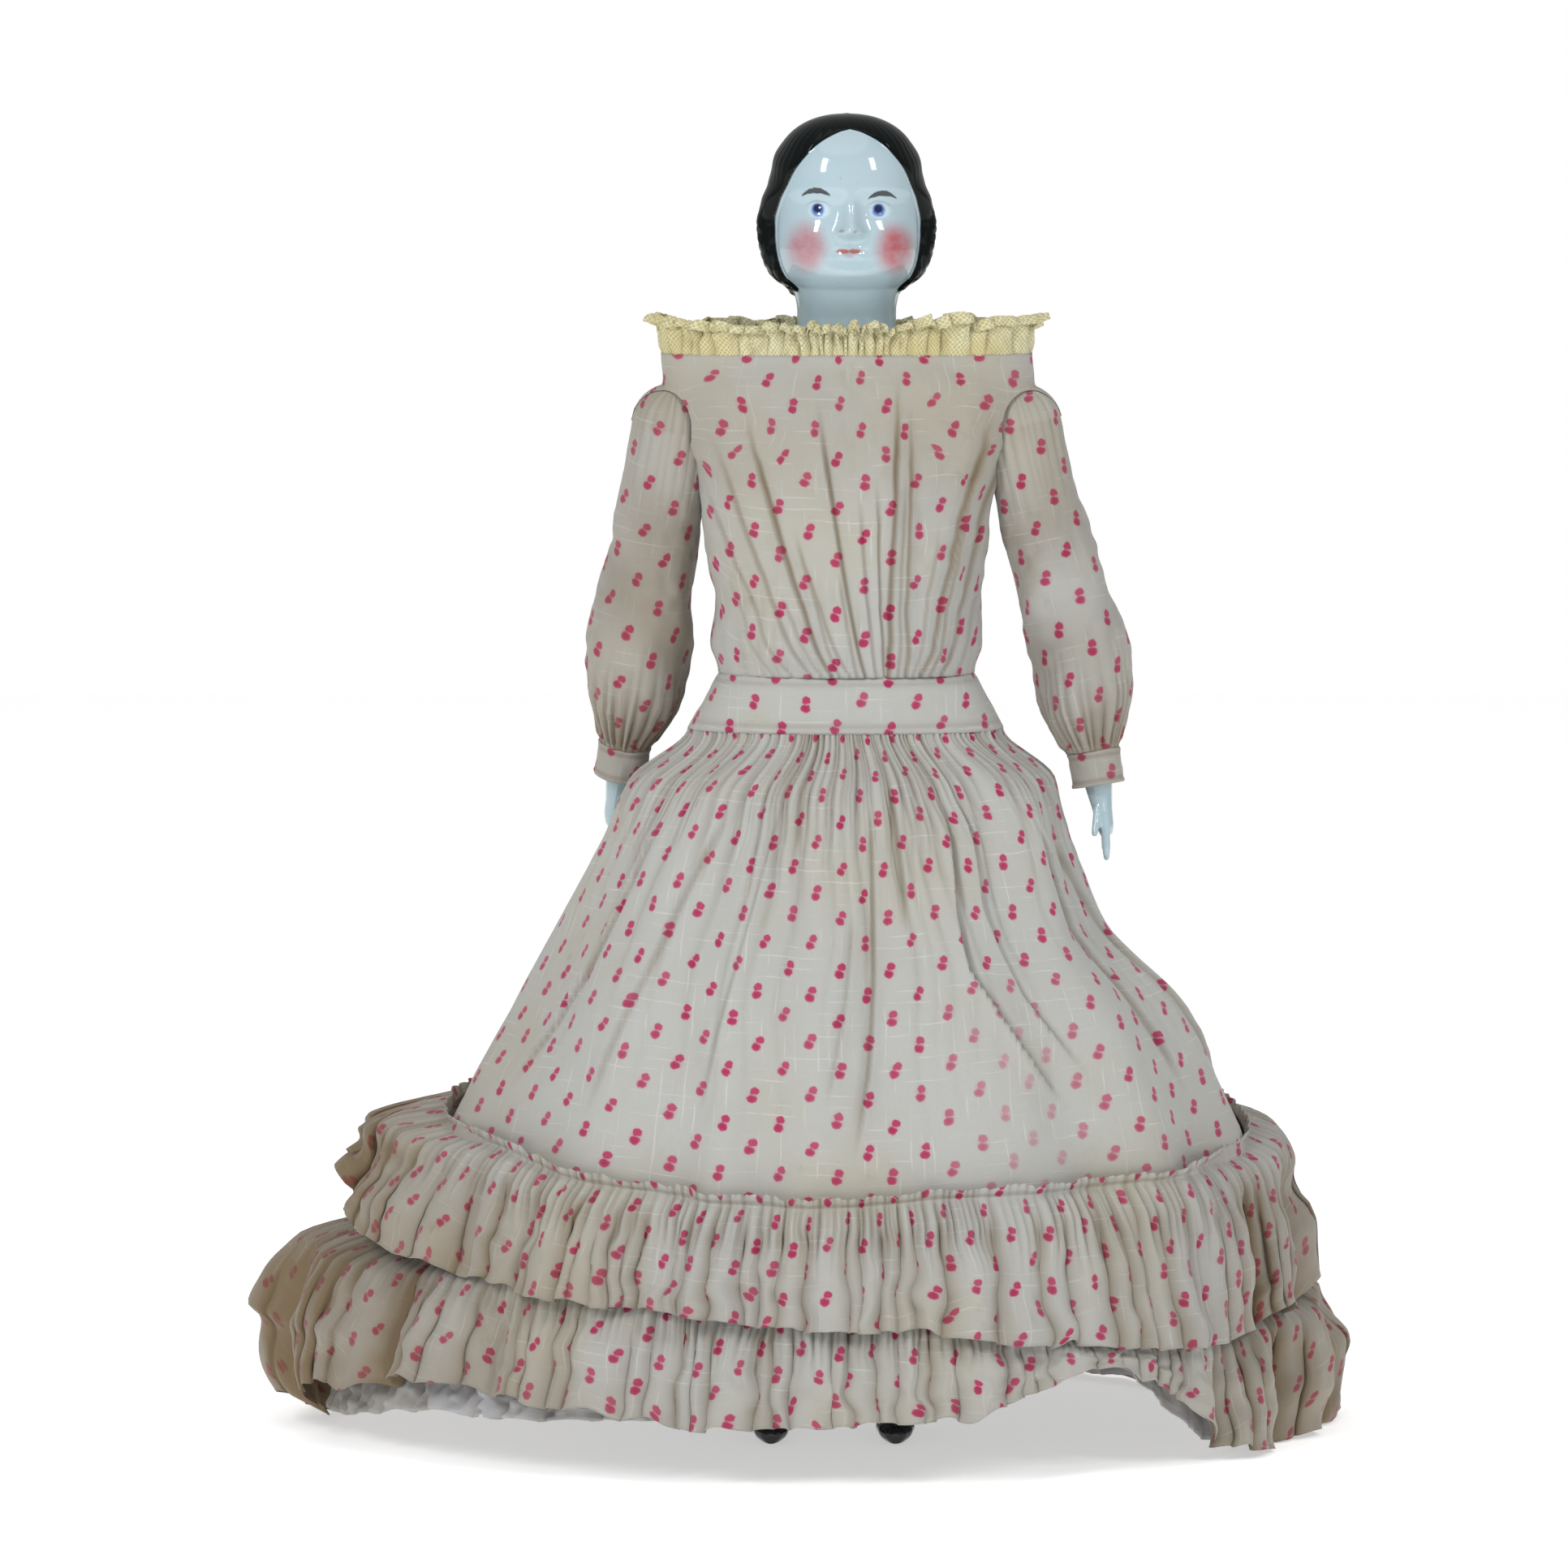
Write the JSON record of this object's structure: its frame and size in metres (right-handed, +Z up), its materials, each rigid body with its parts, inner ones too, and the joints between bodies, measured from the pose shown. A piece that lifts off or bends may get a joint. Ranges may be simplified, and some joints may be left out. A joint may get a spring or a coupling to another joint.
{
  "type": "china head doll",
  "caption": "Standing doll with a glazed porcelain shoulder head, hands and boots on a stuffed cloth body, in a gathered cotton print dress with two flounces.",
  "frame": {"origin": "under the middle of the whole doll, on the surface that it stands on", "axes": "+Z up; the doll faces -Y and its own left side is at +X"},
  "size_m": [0.3902, 0.27, 0.457],
  "materials": {
    "glazed_china": "clear glaze over bluish white porcelain; hair and boots black, cheeks pink",
    "muslin": "unbleached muslin, tightly stuffed",
    "cotton_tape": "woven cotton tape",
    "white_cotton": "greyed white cotton, crumpled",
    "printed_cotton": "fine cotton with small raspberry sprigs, aged",
    "cream_net": "gathered cream net lace",
    "button_china": "small white china buttons"
  },
  "bodies": {
    "root": {"shoulder_head": "glazed_china", "torso": "muslin", "plate_tape_front_left": "cotton_tape", "plate_tape_back_left": "cotton_tape", "plate_tape_front_right": "cotton_tape", "plate_tape_back_right": "cotton_tape", "petticoat": "white_cotton", "petticoat_frill": "white_cotton", "skirt": "printed_cotton", "upper_flounce": "printed_cotton", "lower_flounce": "printed_cotton", "bodice": "printed_cotton", "yoke": "printed_cotton", "neck_frill": "cream_net", "button_1": "button_china", "button_2": "button_china", "button_3": "button_china", "button_4": "button_china"},
    "arm_left": {"upper_arm_left": "muslin", "sleeve_left": "printed_cotton"},
    "forearm_left": {"forearm_cloth_left": "muslin", "china_forearm_left": "glazed_china", "arm_tape_left": "cotton_tape", "cuff_left": "printed_cotton"},
    "thigh_left": {"thigh_left": "muslin"},
    "leg_left": {"calf_cloth_left": "muslin", "china_leg_left": "glazed_china", "leg_tape_left": "cotton_tape"},
    "arm_right": {"upper_arm_right": "muslin", "sleeve_right": "printed_cotton"},
    "forearm_right": {"forearm_cloth_right": "muslin", "china_forearm_right": "glazed_china", "arm_tape_right": "cotton_tape", "cuff_right": "printed_cotton"},
    "thigh_right": {"thigh_right": "muslin"},
    "leg_right": {"calf_cloth_right": "muslin", "china_leg_right": "glazed_china", "leg_tape_right": "cotton_tape"}
  },
  "joints": [
    {"name": "shoulder_left", "type": "hinge", "parent": "root", "child": "arm_left", "pos_m": [0.07733, -0.01361, 0.35], "axis": [-0.9063, -0.4226, 0], "range_deg": [-5, 90]},
    {"name": "elbow_left", "type": "hinge", "parent": "arm_left", "child": "forearm_left", "pos_m": [0.09765, -0.01361, 0.26849], "axis": [-0.9063, -0.4226, 0], "range_deg": [0, 60], "deforming": ["sleeve_left"]},
    {"name": "hip_left", "type": "hinge", "parent": "root", "child": "thigh_left", "pos_m": [0.03883, -0.0126, 0.207], "axis": [-1, 0, 0], "range_deg": [-10, 15]},
    {"name": "knee_left", "type": "hinge", "parent": "thigh_left", "child": "leg_left", "pos_m": [0.03639, -0.0126, 0.108], "axis": [1, 0, 0], "range_deg": [0, 45]},
    {"name": "shoulder_right", "type": "hinge", "parent": "root", "child": "arm_right", "pos_m": [-0.04267, -0.01361, 0.35], "axis": [-0.9063, 0.4226, 0], "range_deg": [-5, 90]},
    {"name": "elbow_right", "type": "hinge", "parent": "arm_right", "child": "forearm_right", "pos_m": [-0.05419, 0.00084, 0.26806], "axis": [-0.9063, 0.4226, 0], "range_deg": [0, 60], "deforming": ["sleeve_right"]},
    {"name": "hip_right", "type": "hinge", "parent": "root", "child": "thigh_right", "pos_m": [-0.00417, -0.0126, 0.207], "axis": [-1, 0, 0], "range_deg": [-10, 15]},
    {"name": "knee_right", "type": "hinge", "parent": "thigh_right", "child": "leg_right", "pos_m": [-0.00661, -0.0126, 0.108], "axis": [1, 0, 0], "range_deg": [0, 45]}
  ]
}
